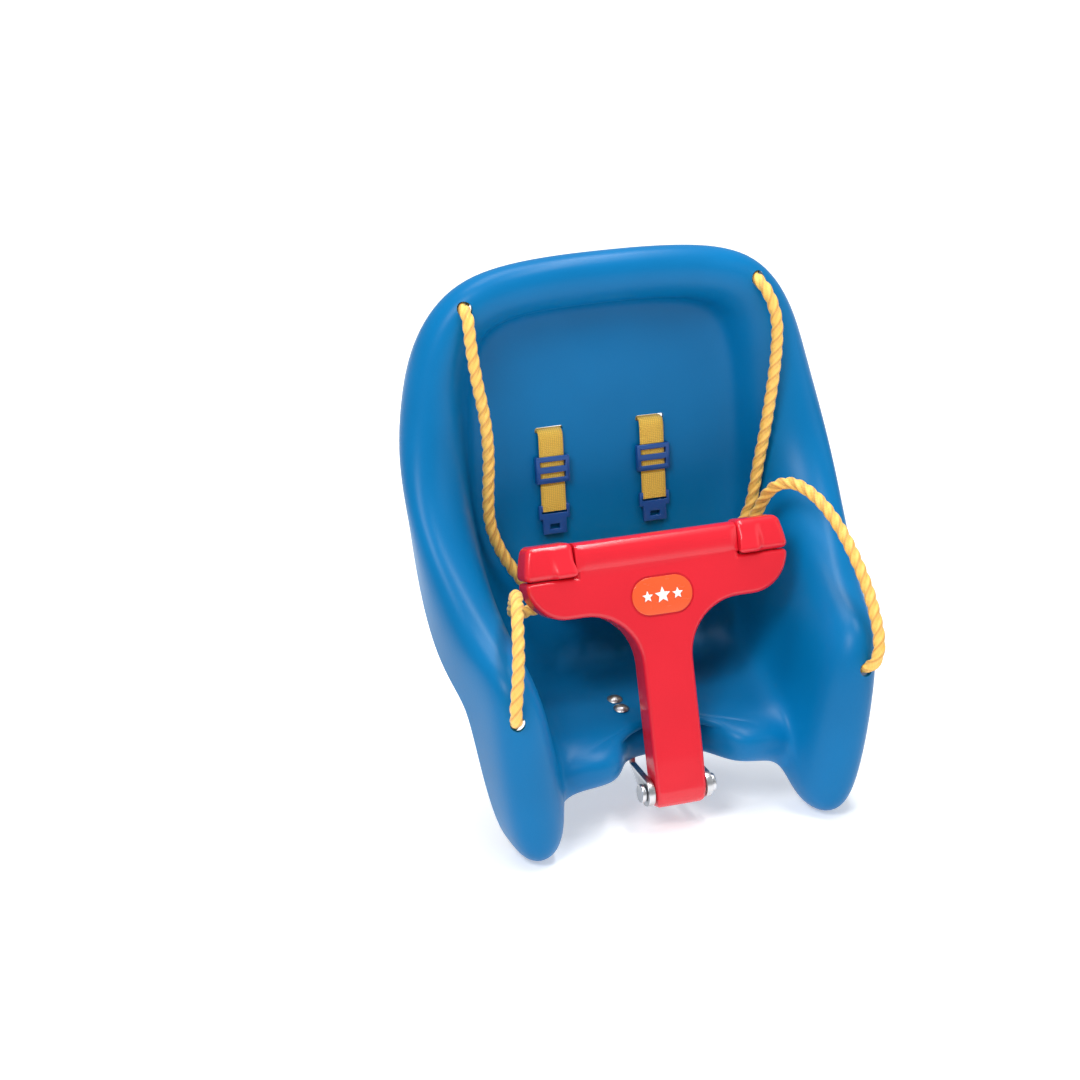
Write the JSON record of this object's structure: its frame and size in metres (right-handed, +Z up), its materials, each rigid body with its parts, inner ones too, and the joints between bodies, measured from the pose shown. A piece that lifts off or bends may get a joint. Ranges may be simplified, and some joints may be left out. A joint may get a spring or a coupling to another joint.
{
  "type": "toddler bucket swing",
  "caption": "High-backed bucket swing seat with a hinged T-shaped safety bar, covered buckles, shoulder straps and twisted ropes stored in hanks.",
  "frame": {"origin": "midway between the two upper rope holes in the rim, where the seat hangs from its ropes", "axes": "+X across the seat, +Y to the back, +Z up; X = 0 is the seat's symmetry plane"},
  "size_m": [0.4298, 0.2685, 0.5157],
  "materials": {
    "shell_plastic": "rotationally moulded polyethylene, satin",
    "bar_plastic": "moulded polyethylene, semi-gloss",
    "buckle_plastic": "injection moulded, glossy",
    "badge_plastic": "glossy label plate",
    "star_plastic": "glossy",
    "steel": "zinc plated",
    "nylon": "nylon, matt",
    "webbing": "woven polypropylene webbing",
    "rope": "three-strand twisted polypropylene rope"
  },
  "bodies": {
    "seat": {"seat_shell": "shell_plastic", "pivot_bracket": "steel", "bracket_bolts": "steel", "pivot_rod": "steel", "rod_caps": "steel", "left_shoulder_strap": "webbing", "right_shoulder_strap": "webbing", "rear_strap_run": "webbing", "left_buckle_tongue": "buckle_plastic", "right_buckle_tongue": "buckle_plastic", "left_rope_back_leg": "rope", "right_rope_back_leg": "rope", "left_rope_front_leg": "rope", "right_rope_front_leg": "rope", "left_rope_hank": "rope", "right_rope_hank": "rope", "left_upper_knot": "rope", "right_upper_knot": "rope", "left_lower_knot": "rope", "right_lower_knot": "rope", "left_hanging_ring": "steel", "right_hanging_ring": "steel", "left_hank_tie": "nylon", "right_hank_tie": "nylon"},
    "tbar": {"tbar": "bar_plastic", "foot_bushes": "nylon", "tbar_badge": "badge_plastic", "badge_stars": "star_plastic", "cover_pins": "steel", "left_button_spring": "steel", "right_button_spring": "steel"},
    "left_cover": {"left_buckle_cover": "bar_plastic"},
    "right_cover": {"right_buckle_cover": "bar_plastic"},
    "left_button": {"left_release_button": "buckle_plastic"},
    "right_button": {"right_release_button": "buckle_plastic"},
    "left_adjuster": {"left_strap_adjuster": "buckle_plastic"},
    "right_adjuster": {"right_strap_adjuster": "buckle_plastic"}
  },
  "joints": [
    {"name": "tbar_pivot", "type": "hinge", "parent": "seat", "child": "tbar", "pos_m": [0, -0.164, -0.438], "axis": [1, 0, 0], "range_deg": [0, 235]},
    {"name": "left_cover_hinge", "type": "hinge", "parent": "tbar", "child": "left_cover", "pos_m": [-0.1055, -0.08964, -0.21714], "axis": [-1, 0, 0], "range_deg": [0, 100]},
    {"name": "right_cover_hinge", "type": "hinge", "parent": "tbar", "child": "right_cover", "pos_m": [0.1055, -0.08964, -0.21714], "axis": [-1, 0, 0], "range_deg": [0, 100]},
    {"name": "left_button_press", "type": "slide", "parent": "tbar", "child": "left_button", "axis": [0, 0.9537, -0.3007], "range_m": [0, 0.0025], "stiffness_N_per_m": 400, "deforming": ["left_button_spring"]},
    {"name": "right_button_press", "type": "slide", "parent": "tbar", "child": "right_button", "axis": [0, 0.9537, -0.3007], "range_m": [0, 0.0025], "stiffness_N_per_m": 400, "deforming": ["right_button_spring"]},
    {"name": "left_adjuster_slide", "type": "slide", "parent": "seat", "child": "left_adjuster", "axis": [0, 0.112, 0.9937], "range_m": [-0.018, 0.018]},
    {"name": "right_adjuster_slide", "type": "slide", "parent": "seat", "child": "right_adjuster", "axis": [0, 0.112, 0.9937], "range_m": [-0.018, 0.018]}
  ]
}
